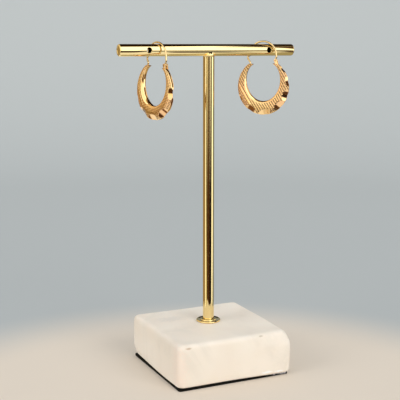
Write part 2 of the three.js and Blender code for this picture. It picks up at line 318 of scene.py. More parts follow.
class StageSettings(bpy.types.PropertyGroup):
    """The pale floor and the soft light"""

    # The floor colour and the darker backdrop colour it fades to make a painted pool of light round
    # the object, partly the warm table before a grey wall.
    floor: FloatVectorProperty(
        name="Floor", description="Colour of the floor near the object", subtype="COLOR",
        default=(0.75, 0.67, 0.58), min=0, max=1)
    far: FloatVectorProperty(
        name="Backdrop", description="Colour that the floor fades to where it rises",
        subtype="COLOR", default=(0.46, 0.49, 0.50), min=0, max=1)
    ambient: FloatVectorProperty(
        name="Ambient", description="Even light that falls from all sides", subtype="COLOR",
        default=(0.71, 0.73, 0.745), min=0, max=4)
    radius: FloatProperty(
        name="Floor radius", description="Radius of the level part of the floor",
        default=0.55, min=0.2, max=3, unit="LENGTH")
    key: FloatProperty(
        name="Key light", description="Strength of the soft light from the front right",
        default=1.45, min=0, max=20)
    fill: FloatProperty(
        name="Fill light", description="Strength of the soft light from the left",
        default=1.0, min=0, max=20)


class EarringStandSettings(bpy.types.PropertyGroup):
    """All settings of the earring stand"""

    brass: PointerProperty(type=BrassSettings)
    gold: PointerProperty(type=GoldSettings)
    stone: PointerProperty(type=StoneSettings)
    stage: PointerProperty(type=StageSettings)


def deselect():
    if bpy.context.mode != "OBJECT":
        bpy.ops.object.mode_set(mode="OBJECT")
    bpy.ops.object.select_all(action="DESELECT")


def only(piece):
    """Makes a piece the one that the next operators act on."""
    deselect()
    piece.select_set(True)
    bpy.context.view_layer.objects.active = piece


def added(name):
    """Names the object that the last operator added."""
    piece = bpy.context.active_object
    piece.name = name
    piece.data.name = name
    return piece


def apply_place():
    """Puts the active piece's place, turn and size in its mesh."""
    bpy.ops.object.transform_apply(location=True, rotation=True, scale=True)


def edit(piece, mode="VERT", select="DESELECT"):
    """Opens a piece in edit mode with all or nothing selected."""
    only(piece)
    bpy.ops.object.mode_set(mode="EDIT")
    bpy.ops.mesh.select_mode(type=mode)
    bpy.ops.mesh.select_all(action=select)


def pick(piece, kind, test):
    """Selects the edges or faces whose middle passes the test, in edit mode."""
    mesh = bmesh.from_edit_mesh(piece.data)
    for part in getattr(mesh, kind):
        middle = sum((vert.co for vert in part.verts), Vector()) / len(part.verts)
        part.select_set(bool(test(middle)))
    mesh.select_flush_mode()
    bmesh.update_edit_mesh(piece.data)


def modifier(piece, kind, **values):
    """Adds a modifier, sets its values and applies it."""
    only(piece)
    made = piece.modifiers.new(kind.title(), kind)
    for key, value in values.items():
        setattr(made, key, value)
    bpy.ops.object.modifier_apply(modifier=made.name)


def join_solid(piece, other, operation="UNION"):
    """Joins another closed piece to this one, or cuts it away, and deletes it."""
    modifier(piece, "BOOLEAN", operation=operation, object=other, solver="MANIFOLD")
    bpy.data.objects.remove(other)


def weld(piece, threshold=1e-7, inside=False):
    """Merges doubles and turns all faces outwards, or inwards."""
    edit(piece, select="SELECT")
    bpy.ops.mesh.remove_doubles(threshold=threshold)
    bpy.ops.mesh.normals_make_consistent(inside=inside)
    bpy.ops.object.mode_set(mode="OBJECT")


def tidy(piece, angle=35):
    """Welds a piece and smooths all but its sharp edges."""
    weld(piece)
    bpy.ops.object.shade_smooth_by_angle(angle=math.radians(angle))


def settle(piece, body, slot, *nodes):
    """Puts a finished piece's place in its mesh, hands it to its body and hides the parts that it
    stands in for.
    """
    only(piece)
    apply_place()
    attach(piece, body)
    if nodes:
        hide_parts(*nodes)
    deselect()


def points_of(piece):
    found = np.empty(len(piece.data.vertices) * 3)
    piece.data.vertices.foreach_get("co", found)
    return found.reshape(-1, 3)


def move_points(piece, points):
    piece.data.vertices.foreach_set("co", np.asarray(points, np.float32).ravel())
    piece.data.update()


def spun(name, profile, segments, centre=(0, 0, 0), closed=True, **welding):
    """A ring or a sheet spun from a closed or open outline of (radius, height) points."""
    corners = [(r, 0, z) for r, z in profile]
    edges = [(i, i + 1) for i in range(len(corners) - 1)]
    if closed:
        edges.append((len(corners) - 1, 0))
    mesh = bpy.data.meshes.new(name)
    mesh.from_pydata(corners, edges, [])
    piece = bpy.data.objects.new(name, mesh)
    bpy.context.scene.collection.objects.link(piece)
    edit(piece, select="SELECT")
    bpy.ops.mesh.spin(steps=segments, angle=math.tau, center=(0, 0, 0), axis=(0, 0, 1))
    weld(piece, **welding)
    piece.location = centre
    return piece


def rod(name, radius, length, centre, rotation=(0, 0, 0), vertices=96):
    bpy.ops.mesh.primitive_cylinder_add(
        vertices=vertices, radius=radius, depth=length, location=centre, rotation=rotation)
    return added(name)


def hung_matrix(earring):
    """The place of an earring: from its own plane, in metres, to the frame."""
    on_bar = Matrix.Translation((earring["along"] * MM, POST_Y, AXIS_HEIGHT))
    turn = Matrix.Rotation(-math.radians(earring["turn"]), 4, "Z")
    off_bar = Matrix.Translation((earring["shift"] * MM, 0, -earring["drop"] * MM))
    tilt = Matrix.Rotation(math.radians(earring["tilt"]), 4, "Y")
    return (on_bar @ turn) @ (off_bar @ tilt)


# Materials
def nodes_of(name, metal=0):
    """A new material, with its node tree and its shader."""
    material = bpy.data.materials.new(name)
    material.use_nodes = True
    tree = material.node_tree
    shader = tree.nodes["Principled BSDF"]
    shader.inputs["Metallic"].default_value = metal
    return material, tree, shader


def link(tree, source, output, target, socket):
    tree.links.new(source.outputs[output], target.inputs[socket])


def noise(tree, scale, detail, roughness=0.5, distortion=0.0):
    """A noise texture on Object coordinates."""
    made = tree.nodes.new("ShaderNodeTexNoise")
    made.inputs["Scale"].default_value = scale
    made.inputs["Detail"].default_value = detail
    made.inputs["Roughness"].default_value = roughness
    made.inputs["Distortion"].default_value = distortion
    where = tree.nodes.new("ShaderNodeTexCoord")
    link(tree, where, "Object", made, "Vector")
    return made


def painted(tree, name):
    """The value that the mesh carries under a name."""
    made = tree.nodes.new("ShaderNodeAttribute")
    made.attribute_name = name
    return made


def ramp(tree, source, output, stops):
    """A colour ramp of (position, colour or grey) stops."""
    made = tree.nodes.new("ShaderNodeValToRGB")
    link(tree, source, output, made, "Fac")
    elements = made.color_ramp.elements
    while len(elements) < len(stops):
        elements.new(0.5)
    for element, (position, colour) in zip(elements, stops):
        element.position = position
        if isinstance(colour, (int, float)):
            colour = (colour, colour, colour)
        element.color = (*colour, 1)
    return made


def fit_range(tree, source, output, span, to_span):
    """Carries a value from one span over to another."""
    made = tree.nodes.new("ShaderNodeMapRange")
    link(tree, source, output, made, "Value")
    made.inputs["From Min"].default_value = span[0]
    made.inputs["From Max"].default_value = span[1]
    made.inputs["To Min"].default_value = to_span[0]
    made.inputs["To Max"].default_value = to_span[1]
    return made


def steer_roughness(tree, source, shader, span, to_span):
    """Lets a texture or attribute vary the roughness."""
    rough = fit_range(tree, source, "Fac", span, to_span)
    link(tree, rough, "Result", shader, "Roughness")


def mix(tree, factor, output, first, second):
    """Mixes two colours; each is a colour or a (node, output) pair."""
    made = tree.nodes.new("ShaderNodeMix")
    made.data_type = "RGBA"
    link(tree, factor, output, made, 0)
    for socket, value in ((made.inputs[6], first), (made.inputs[7], second)):
        if isinstance(value[0], (int, float)):
            socket.default_value = (*value[:3], 1)
        else:
            tree.links.new(value[0].outputs[value[1]], socket)
    return made


def reckon(tree, operation, first, second=None):
    """A math node on numbers or on (node, output) pairs."""
    made = tree.nodes.new("ShaderNodeMath")
    made.operation = operation
    for n, value in enumerate((first, second)):
        if value is None:
            continue
        if isinstance(value, (int, float)):
            made.inputs[n].default_value = value
        else:
            tree.links.new(value[0].outputs[value[1]], made.inputs[n])
    return made


def bump(tree, source, shader, strength, distance):
    made = tree.nodes.new("ShaderNodeBump")
    made.inputs["Strength"].default_value = strength
    made.inputs["Distance"].default_value = distance
    link(tree, source, "Fac", made, "Height")
    link(tree, made, "Normal", shader, "Normal")


def marked(tree, base, marks):
    """Lays the marks of wear over a colour, each with a ragged edge."""
    where = tree.nodes.new("ShaderNodeTexCoord")
    ragged = noise(tree, scale=900, detail=3)
    rough_edge = fit_range(tree, ragged, "Fac", NOISE_SPAN, FRAY)
    for place, size, colour, strength in marks:
        before, output = where, "Object"
        for operation, value in (("SUBTRACT", place), ("DIVIDE", size), ("LENGTH", None)):
            away = tree.nodes.new("ShaderNodeVectorMath")
            away.operation = operation
            if value:
                away.inputs[1].default_value = [c * MM for c in value]
            link(tree, before, output, away, 0)
            before, output = away, "Vector"
        torn = reckon(tree, "ADD", (away, "Value"), (rough_edge, "Result"))
        share = fit_range(tree, torn, 0, FADE, (strength, 0))
        base = (mix(tree, share, "Result", base, colour), 2)
    return base


def darker(colour, share):
    """A colour with that share of its brightness left."""
    return tuple(channel * share for channel in colour)


def brass_finish():
    """Polished brass with a breath of smudges and a very fine grain."""
    settings = bpy.context.scene.earring_stand.brass
    material, tree, shader = nodes_of("lacquered_brass", metal=1)
    smudge = noise(tree, scale=220, detail=4)
    tint = mix(tree, smudge, "Fac", settings.colour, darker(settings.colour, SMUDGED))
    link(tree, tint, 2, shader, "Base Color")
    polish = tuple(settings.roughness * share for share in POLISH)
    steer_roughness(tree, smudge, shader, (0.35, 0.7), polish)
    fine = noise(tree, scale=2600, detail=2)
    bump(tree, fine, shader, strength=0.05, distance=0.02 * MM)
    return material


def gold_finish():
    """Yellow gold with a blush, dulled in the worked grooves and darkened there with painted shade.
    """
    settings = bpy.context.scene.earring_stand.gold
    material, tree, shader = nodes_of("worked_gold", metal=1)
    cloud = noise(tree, scale=130, detail=3)
    patch = fit_range(tree, cloud, "Fac", (0.42, 0.66), (0, PATCH_BLUSH))
    soft_net = reckon(tree, "MULTIPLY", (painted(tree, "net"), "Fac"), NET_BLUSH)
    blushing = reckon(tree, "MAXIMUM", (patch, "Result"), (soft_net, 0))
    tint = mix(tree, blushing, 0, settings.colour, settings.blush)
    groove = painted(tree, "groove")
    # Painted shade: the gold darkens towards a dark blush in the grooves.
    groove_shaded = mix(tree, groove, "Fac", (tint, 2), darker(settings.blush, GROOVE_SHADE_SHARE))
    link(tree, groove_shaded, 2, shader, "Base Color")
    steer_roughness(tree, painted(tree, "worked"), shader, (0, 1), (0.09, 0.22))
    grain = noise(tree, scale=4200, detail=2)
    bump(tree, grain, shader, strength=0.12, distance=0.03 * MM)
    return material


def wire_finish():
    """The paler, drawn gold of the ear wires and pins."""
    settings = bpy.context.scene.earring_stand.gold
    material, tree, shader = nodes_of("drawn_gold", metal=1)
    cloud = noise(tree, scale=300, detail=3)
    tint = mix(tree, cloud, "Fac", settings.wire, darker(settings.wire, CLOUDED))
    link(tree, tint, 2, shader, "Base Color")
    steer_roughness(tree, cloud, shader, NOISE_SPAN, (0.08, 0.18))
    return material


def marble_finish():
    """Honed cream marble: soft clouds, faint broken veins, marks of wear and a sugary grain."""
    settings = bpy.context.scene.earring_stand.stone
    material, tree, shader = nodes_of("honed_marble")
    cloud = noise(tree, scale=34, detail=5, distortion=0.6)
    warm = ramp(tree, cloud, "Fac", ((0.32, settings.tinge), (0.62, settings.colour)))
    vein_noise = noise(tree, scale=15, detail=5, roughness=0.62, distortion=1.2)
    vein = ramp(tree, vein_noise, "Fac", ((0.44, 0), (0.5, 0.24), (0.56, 0)))
    broken = noise(tree, scale=60, detail=2)
    share = fit_range(tree, broken, "Fac", (0.42, 0.62), (0, 1))
    faint = reckon(tree, "MULTIPLY", (vein, "Color"), (share, "Result"))
    veined = mix(tree, faint, 0, (warm, "Color"), settings.vein)
    link(tree, *marked(tree, (veined, 2), STONE_MARKS), shader, "Base Color")
    shader.inputs["Subsurface Weight"].default_value = 0.12
    shader.inputs["Subsurface Scale"].default_value = 1.5 * MM
    shader.inputs["Subsurface Radius"].default_value = (1, 0.8, 0.6)
    steer_roughness(tree, cloud, shader, NOISE_SPAN, (0.45, 0.62))
    grain = noise(tree, scale=1500, detail=4, roughness=0.7)
    bump(tree, grain, shader, strength=0.25, distance=0.08 * MM)
    return material


def rubber_finish():
    """Black foam rubber with a dusty grain."""
    material, tree, shader = nodes_of("foam_rubber")
    grain = noise(tree, scale=900, detail=5)
    black = (0.002, 0.002, 0.0015)
    dusty = (0.010, 0.009, 0.007)
    tint = ramp(tree, grain, "Fac", ((0.35, black), (0.75, dusty)))
    link(tree, *marked(tree, (tint, "Color"), PAD_MARKS), shader, "Base Color")
    shader.inputs["Specular IOR Level"].default_value = 0.1
    steer_roughness(tree, grain, shader, NOISE_SPAN, (0.7, 0.95))
    bump(tree, grain, shader, strength=0.4, distance=0.15 * MM)
    return material


def coat(piece, name, make):
    """Gives a piece a material, which is made once and shared."""
    piece.data.materials.clear()
    piece.data.materials.append(bpy.data.materials.get(name) or make())


# The crescent's geometry
def reach_of(ellipse, angle):
    """The distance from the hub to an ellipse, at an angle from the lowest point."""
    offset = HUB - ellipse["centre"]
    a = (np.sin(angle) / ellipse["across"]) ** 2 + (np.cos(angle) / ellipse["down"]) ** 2
    b = -2 * offset * np.cos(angle) / ellipse["down"] ** 2
    c = (offset / ellipse["down"]) ** 2 - 1
    return (-b + np.sqrt(b * b - 4 * a * c)) / (2 * a)


def section_at(angle):
    """The outer reach, width and half thickness of the crescent at an angle."""
    outer = reach_of(OUTER, angle)
    gap = np.maximum(outer - reach_of(INNER, angle), 0)
    width = (gap ** 4 + LEAST_WIDTH ** 4) ** 0.25
    fullness = 0.5 + 0.5 * np.cos(angle)
    return outer, width, (END_THICKNESS + (THICKNESS - END_THICKNESS) * fullness) / 2


def smooth_step(value, low, high):
    t = np.clip((value - low) / (high - low), 0, 1)
    return t * t * (3 - 2 * t)


def scoop_frame(degrees, inset, rim_share, face):
    """The middle and two directions of a cut on one outer edge, in millimetres."""
    angle = math.radians(degrees)
    outer, width, half = (float(v) for v in section_at(angle))
    ray = Vector((math.sin(angle), 0, -math.cos(angle)))
    rim = Vector((0, 0, HUB)) + ray * outer
    rise = (rim.z - OUTER["centre"]) / OUTER["down"] ** 2
    outward = Vector((rim.x / OUTER["across"] ** 2, 0, rise)).normalized()
    sideways = Vector((0, face, 0))
    on_face = rim - outward * width * inset + sideways * half
    on_rim = rim + sideways * half * rim_share
    slope = (on_rim - on_face).normalized()
    along = outward.cross(sideways)
    up = along.cross(slope)
    if up.dot(outward) < 0:
        up.negate()
    return (on_face + on_rim) / 2, along, up


def saw(phase):
    """A row of rounded ridges with narrow grooves: how deep the surface lies, from 0 to 1."""
    return 1 - np.abs(np.sin(np.pi * phase)) ** SHARPNESS


def worked_crescent(points, settings, earring):
    """Turns the points of a plain spun ring, in millimetres, into the worked crescent's."""
    x, y, z = points.T
    angle = np.arctan2(x, HUB - z)
    turn = np.arctan2(y, np.hypot(x, z - HUB) - SPIN["radius"])
    outer, width, half = section_at(angle)
    power = 2 / SQUARENESS
    across = np.sign(np.cos(turn)) * np.abs(np.cos(turn)) ** power
    sideways = np.sign(np.sin(turn)) * np.abs(np.sin(turn)) ** power
    reach = outer - width / 2 + width / 2 * across
    ray = np.stack([np.sin(angle), np.zeros_like(angle), -np.cos(angle)], 1)
    plain = ray * reach[:, None]
    plain[:, 1] = half * sideways
    plain[:, 2] += HUB
    narrow = smooth_step(-angle, *NARROW["in"]) * smooth_step(angle, *NARROW["out"])
    inner_edge = BAND["inner"] + NARROW["by"] * narrow
    in_band = smooth_step(across, inner_edge, inner_edge + BAND["soft"])
    in_band *= 1 - smooth_step(across, *BAND["outer"])
    in_band *= smooth_step(np.abs(sideways), *BAND["sides"])
    lean = settings.ridge_lean
    place = plain[:, 0] * math.sin(lean) + plain[:, 2] * math.cos(lean)
    half_stripe = STRIPE["half"]
    fine = smooth_step(STRIPE["place"] - place, 0, half_stripe)
    from_stripe = np.abs(place - STRIPE["place"])
    in_band *= smooth_step(from_stripe, half_stripe * STRIPE["core"], half_stripe)
    coarse_ridge = saw(place * MM / settings.ridge_pitch)
    net_ridge = saw(place / STRIPE["net_pitch"])
    ridge = coarse_ridge * (1 - fine) + net_ridge * fine * STRIPE["net_depth"]
    cross = saw(plain[:, 2] * MM / settings.cross_pitch)
    ridge *= earring["ridge"]
    cross *= earring["cross"]
    depth = (ridge * settings.ridge_depth + cross * settings.cross_depth) / MM
    normal = ray * (width * across * np.abs(across) ** (1 / power - 1))[:, None]
    normal[:, 1] = 2 * half * sideways
    normal /= np.linalg.norm(normal, axis=1)[:, None]
    made = plain - normal * (depth * in_band)[:, None]
    scooped = np.zeros(len(made), bool)
    radius = settings.scoop_radius / MM
    for degrees, inset, rim_share in earring["scoops"]:
        for face in (-1, 1):
            middle, along, up = scoop_frame(degrees, inset, rim_share, face)
            local = made - np.array(middle)
            a = local @ np.array(along)
            u = local @ np.array(up)
            floor = radius - np.sqrt(np.maximum(radius ** 2 - a * a, 0))
            floor -= settings.scoop_depth / MM
            inside = (np.abs(a) < radius) & (u > floor)
            made[inside] -= np.array(up) * (u - floor)[inside, None]
            scooped |= inside
    worked = np.where(scooped, 0, in_band)
    # Painted shade: the gold is darkened where the cuts lie deepest.
    darkness = ridge * GROOVE_SHADING["ridge"] + cross * GROOVE_SHADING["cross"] - GROOVE_SHADING["less"]
    groove = np.where(scooped, 0, in_band * np.clip(darkness, 0, 1))
    return made, worked, groove, fine * (1 - scooped)


def lug_plate(face):
    """One of the two plates that hold the hinge pin, as the hull of two discs."""
    middle = face * (LUG["inside"] + LUG["outside"]) / 2 * MM
    depth = (LUG["outside"] - LUG["inside"]) * MM
    level = (math.pi / 2, 0, 0)
    hinge = (HINGE["x"] * MM, middle, HINGE["z"] * MM)
    ankle = (LUG_FOOT["x"] * MM, middle, LUG_FOOT["z"] * MM)
    plate = rod("lug", LUG["radius"] * MM, depth, hinge, level, vertices=48)
    foot = rod("foot", LUG_FOOT["radius"] * MM, depth, ankle, level, vertices=48)
    only(plate)
    foot.select_set(True)
    bpy.ops.object.join()
    edit(plate, select="SELECT")
    bpy.ops.mesh.delete(type="EDGE_FACE")
    bpy.ops.mesh.select_all(action="SELECT")
    bpy.ops.mesh.convex_hull()
    bpy.ops.mesh.select_all(action="SELECT")
    bpy.ops.mesh.dissolve_limited(angle_limit=math.radians(1))
    bpy.ops.mesh.select_all(action="SELECT")
    bpy.ops.mesh.normals_make_consistent(inside=False)
    bpy.ops.object.mode_set(mode="OBJECT")
    apply_place()
    modifier(plate, "BEVEL", width=LUG["round"] * MM, segments=2, limit_method="ANGLE",
             angle_limit=math.radians(50))
    hole = rod("hole", LUG["bore"] * MM, THROUGH * depth, hinge, level, vertices=32)
    join_solid(plate, hole, "DIFFERENCE")
    return plate


def make_hoop(earring):
    settings = bpy.context.scene.earring_stand.gold
    start = math.radians(-REACH)
    centre = (math.sin(start) * SPIN["radius"], 0, -math.cos(start) * SPIN["radius"])
    bpy.ops.mesh.primitive_circle_add(
        vertices=settings.sides, radius=SPIN["tube"], location=centre,
        rotation=(0, math.pi / 2 - start, 0))
    hoop = added(f"hoop_worked_{earring['side']}")
    apply_place()
    modifier(hoop, "SCREW", axis="Y", angle=-2 * math.radians(REACH), steps=settings.stations,
             render_steps=settings.stations)
    hoop.location.z = HUB
    apply_place()
    points, worked, groove, net = worked_crescent(points_of(hoop), settings, earring)
    for name, values in (("worked", worked), ("groove", groove), ("net", net)):
        attribute = hoop.data.attributes.new(name, "FLOAT", "POINT")
        attribute.data.foreach_set("value", values.astype(np.float32))
    move_points(hoop, points * MM)
    edit(hoop, select="SELECT")
    bpy.ops.mesh.fill_holes(sides=0)
    bpy.ops.mesh.select_all(action="SELECT")
    bpy.ops.mesh.normals_make_consistent(inside=False)
    bpy.ops.object.mode_set(mode="OBJECT")
    bpy.ops.mesh.primitive_cube_add(size=TRIM * MM, location=(0, 0, (END_HEIGHT + TRIM / 2) * MM))
    join_solid(hoop, added("trim"), "DIFFERENCE")
    for face in (-1, 1):
        join_solid(hoop, lug_plate(face))
    mouth = rod(
        "mouth", MOUTH["radius"] * MM, 2 * MOUTH["depth"] * MM,
        (MOUTH["x"] * MM, 0, END_HEIGHT * MM), (0, math.radians(MOUTH["lean"]), 0), vertices=32)
    join_solid(hoop, mouth, "DIFFERENCE")
    tidy(hoop, 50)
    coat(hoop, "worked_gold", gold_finish)
    hoop.matrix_world = hung_matrix(earring)
    settle(hoop, BODY, "gold", f"hoop_{earring['side']}")


def make_ear_wire(earring):
    route = list(NEAR_LEG)
    for n in range(ARCH_STEPS + 1):
        angle = math.pi * n / ARCH_STEPS
        rise = ARCH_RADIUS * math.sin(angle)
        route.append((ARCH_RADIUS * math.cos(angle), earring["arch"] + rise))
    route += [(x + earring["press"], z) for x, z in BOW]
    route += TIP
    bpy.ops.curve.primitive_bezier_curve_add()
    wire = added(f"wire_bent_{earring['side']}")
    spline = wire.data.splines[0]
    spline.bezier_points.add(len(route) - len(spline.bezier_points))
    for point, (x, z) in zip(spline.bezier_points, route):
        point.co = (x * MM, 0, z * MM)
        point.handle_left_type = point.handle_right_type = "AUTO"
    wire.data.dimensions = "3D"
    wire.data.resolution_u = 8
    wire.data.bevel_depth = WIRE_RADIUS * MM
    wire.data.bevel_resolution = 5
    wire.data.use_fill_caps = True
    only(wire)
    bpy.ops.object.convert(target="MESH")
    wire = bpy.context.active_object
    weld(wire)
    bpy.ops.mesh.primitive_torus_add(
        location=(HINGE["x"] * MM, 0, HINGE["z"] * MM), rotation=(math.pi / 2, 0, 0),
        major_radius=EYE["ring"] * MM, minor_radius=EYE["wire"] * MM,
        major_segments=48, minor_segments=16)
    eye = added("eye")
    eye.scale.z = EYE["flatness"]
    join_solid(wire, eye)
    tidy(wire)
    coat(wire, "drawn_gold", wire_finish)
    wire.matrix_world = hung_matrix(earring)
    settle(wire, f"{earring['side']}_wire", "gold", f"ear_wire_{earring['side']}")


def make_hinge_pin(earring):
    pin = rod(
        f"pin_riveted_{earring['side']}", PIN["radius"] * MM, 2 * PIN["half"] * MM,
        (HINGE["x"] * MM, 0, HINGE["z"] * MM), (math.pi / 2, 0, 0), vertices=32)
    apply_place()
    modifier(pin, "BEVEL", width=PIN["round"] * MM, segments=4, limit_method="ANGLE")
    tidy(pin, 50)
    coat(pin, "drawn_gold", wire_finish)
    pin.matrix_world = hung_matrix(earring)
    settle(pin, BODY, "gold", f"hinge_pin_{earring['side']}")


class EARSTAND_OT_hoops(bpy.types.Operator):
    """Model the two worked crescent hoops with their hinge lugs"""

    bl_idname = "earstand.hoops"
    bl_label = "Hoops"

    def execute(self, context):
        for earring in EARRINGS:
            make_hoop(earring)
        return {"FINISHED"}


class EARSTAND_OT_ear_wires(bpy.types.Operator):
    """Bend the two ear wires and rivet their hinge pins"""

    bl_idname = "earstand.ear_wires"
    bl_label = "Ear Wires"

    def execute(self, context):
        for earring in EARRINGS:
            make_ear_wire(earring)
            make_hinge_pin(earring)
        return {"FINISHED"}


def solder_outline(fillet):
    """The section of the ring of solder, from the crossbar's axis down."""
    top = -SOLDER["top"] * BAR_RADIUS
    foot = top - SOLDER["height"] * fillet
    inside = SOLDER["inside"] * POST_RADIUS
    outline = [(inside, top), (inside, foot)]
    for n in range(SOLDER["steps"] + 1):
        turn = math.pi / 2 * n / SOLDER["steps"]
        out = POST_RADIUS - SOLDER["overlap"] + fillet * (1 - math.cos(turn))
        outline.append((out, foot + (top - foot) * math.sin(turn)))
    return outline


class EARSTAND_OT_t_bar(bpy.types.Operator):
    """Model the brass post with its drilled crossbar"""

    bl_idname = "earstand.t_bar"
    bl_label = "T-Bar"

    def execute(self, context):
        settings = context.scene.earring_stand.brass
        across = (0, math.pi / 2, 0)
        middle = (0, POST_Y, AXIS_HEIGHT)
        bar = rod("t_bar_polished", BAR_RADIUS, 2 * BAR_HALF, middle, across, vertices=128)
        apply_place()
        edit(bar, "EDGE")
        pick(bar, "edges", lambda m: abs(m.x) > BAR_HALF - TOLERANCE)
        bpy.ops.mesh.bevel(offset=settings.end_round, segments=5, affect="EDGES")
        bpy.ops.mesh.select_mode(type="FACE")
        pick(bar, "faces", lambda m: abs(m.x) > BAR_HALF - TOLERANCE)
        bpy.ops.mesh.inset(thickness=END_CAP["rim"])
        bpy.ops.mesh.inset(thickness=END_CAP["step"], depth=-END_CAP["depth"])
        bpy.ops.object.mode_set(mode="OBJECT")
        post_middle = (0, POST_Y, (AXIS_HEIGHT + bar_low.z) / 2)
        post = rod("post", POST_RADIUS, AXIS_HEIGHT - bar_low.z, post_middle, vertices=128)
        join_solid(bar, post)
        join_solid(bar, spun("solder", solder_outline(settings.fillet), 96, middle))
        bore = rod("bore", TUBE_BORE, 2 * (BAR_HALF - END_WALL), middle, across, vertices=48)
        join_solid(bar, bore, "DIFFERENCE")
        for side in (-1, 1):
            place = (side * CROSS_HOLE["x"], POST_Y, AXIS_HEIGHT)
            hole = rod(
                "hole", CROSS_HOLE["radius"], THROUGH * BAR_RADIUS, place, (math.pi / 2, 0, 0),
                vertices=48)
            join_solid(bar, hole, "DIFFERENCE")
        tidy(bar, 30)
        coat(bar, "lacquered_brass", brass_finish)
        settle(bar, BODY, "polished_brass", "t_bar")
        return {"FINISHED"}


class EARSTAND_OT_flange(bpy.types.Operator):
    """Turn the brass flange at the foot of the post"""

    bl_idname = "earstand.flange"
    bl_label = "Foot Flange"

    def execute(self, context):
        radius = (flange_high.x - flange_low.x) / 2
        height = flange_high.z - flange_low.z
        outline = [(SEAT_RADIUS, 0), (radius - FLANGE_RIM["inset"], 0)]
        rim = FLANGE_RIM["radius"]
        for n in range(FLANGE_RIM["steps"] + 1):
            turn = -math.pi / 2 + math.pi * FLANGE_RIM["turns"] * n / FLANGE_RIM["steps"]
            rise = rim + FLANGE_RIM["lift"] + rim * math.sin(turn)
            outline.append((radius - rim + rim * math.cos(turn), rise))
        outline += [(radius - x * MM, z * MM) for x, z in FLANGE_DISH]
        outline += [(POST_RADIUS + x * MM, z * MM) for x, z in FLANGE_STEP]
        outline += [(POST_RADIUS + x * MM, height - z * MM) for x, z in FLANGE_COLLAR]
        outline.append((SEAT_RADIUS, height))
        flange = spun("flange_turned", outline, 128, (0, POST_Y, BLOCK_TOP))
        tidy(flange, 40)
        coat(flange, "lacquered_brass", brass_finish)
        settle(flange, BODY, "polished_brass", "foot_flange")
        return {"FINISHED"}


def rounded_box(name, low, high, corner, top, bottom):
    """A box with rounded upright edges and rounded upper and lower edges."""
    middle = (low + high) / 2
    bpy.ops.mesh.primitive_cube_add(size=1, location=middle, scale=high - low)
    box = added(name)
    apply_place()
    edit(box, "EDGE")
    pick(box, "edges", lambda m: abs(m.z - middle.z) < TOLERANCE)
    bpy.ops.mesh.bevel(offset=corner, segments=8, affect="EDGES")
    for height, offset in ((high.z, top), (low.z, bottom)):
        pick(box, "edges", lambda m: abs(m.z - height) < TOLERANCE)
        bpy.ops.mesh.bevel(offset=offset, segments=5, affect="EDGES")
    bpy.ops.object.mode_set(mode="OBJECT")
    return box


def worn(points, low, high, waviness):
    """Moves a block's points to the uneven outline of one ground by hand."""
    middle = np.array((low + high) / 2)
    half = np.array((high - low) / 2)
    level = (points - middle) / half
    x, y, t = level.T
    out = BELLY * (1 - t * t)
    for corner, side, end in ((CORNER_RIGHT, x - y, t), (CORNER_LEFT, y - x, -t)):
        lost = corner["loss"] * smooth_step(end, corner["from"], 1.0)
        out += smooth_step(side, *CORNER_SPAN) * (corner["out"] - lost)
    wave = sum(np.sin(points @ np.array(direction) + phase) for direction, phase in WAVES)
    out = out * MM + wave * waviness / (2 * len(WAVES))
    around = points[:, :2] - middle[:2]
    around /= np.maximum(np.abs(level[:, :2]).max(axis=1) * half[0], 1 * MM)[:, None]
    moved = points.copy()
    moved[:, :2] += around * out[:, None]
    return moved


class EARSTAND_OT_marble_block(bpy.types.Operator):
    """Cut the marble block, wear its edges and drill its socket"""

    bl_idname = "earstand.marble_block"
    bl_label = "Marble Block"

    def execute(self, context):
        settings = context.scene.earring_stand.stone
        block = rounded_box(
            "marble_worn", block_low, block_high, settings.corner, settings.edge,
            settings.edge * LOWER_EDGE)
        modifier(block, "REMESH", mode="VOXEL", voxel_size=0.5 * MM)
        modifier(block, "SMOOTH", factor=0.5, iterations=8)
        move_points(block, worn(points_of(block), block_low, block_high, settings.waviness))
        socket = rod(
            "socket", SEAT_RADIUS, BLOCK_TOP - bar_low.z + OVERSHOOT,
            (0, POST_Y, (BLOCK_TOP + bar_low.z + OVERSHOOT) / 2), vertices=64)
        join_solid(block, socket, "DIFFERENCE")
        tidy(block, 50)
        coat(block, "honed_marble", marble_finish)
        settle(block, BODY, "white_marble", "marble_base")
        return {"FINISHED"}


class EARSTAND_OT_pad(bpy.types.Operator):
    """Cut the black pad under the block"""

    bl_idname = "earstand.pad"
    bl_label = "Pad"

    def execute(self, context):
        pad = rounded_box("pad_cut", pad_low, pad_high, PAD_CORNER, PAD_EDGE, PAD_EDGE)
        tidy(pad)
        coat(pad, "foam_rubber", rubber_finish)
        settle(pad, BODY, "black_rubber", "base_pad")
        return {"FINISHED"}


class EARSTAND_OT_stage(bpy.types.Operator):
    """Lay the pale floor, and set the light and the camera"""

    bl_idname = "earstand.stage"
    bl_label = "Stage"

    def execute(self, context):
        make_camera()
        make_floor()
        make_lights()
        make_surroundings()
        context.scene.view_settings.view_transform = "Standard"
        return {"FINISHED"}


def make_camera():
    heading = math.radians(CAMERA_HEADING)
    pitch = math.radians(CAMERA_PITCH)
    bpy.ops.object.camera_add(
        location=CAMERA_PLACE, rotation=(math.pi / 2 - pitch, 0, -heading))
    camera = added("camera")
    camera.data.lens = CAMERA_LENS
    camera.data.sensor_width = SENSOR
    camera.data.clip_start = 0.01
    camera.data.clip_end = 10
    bpy.context.scene.camera = camera


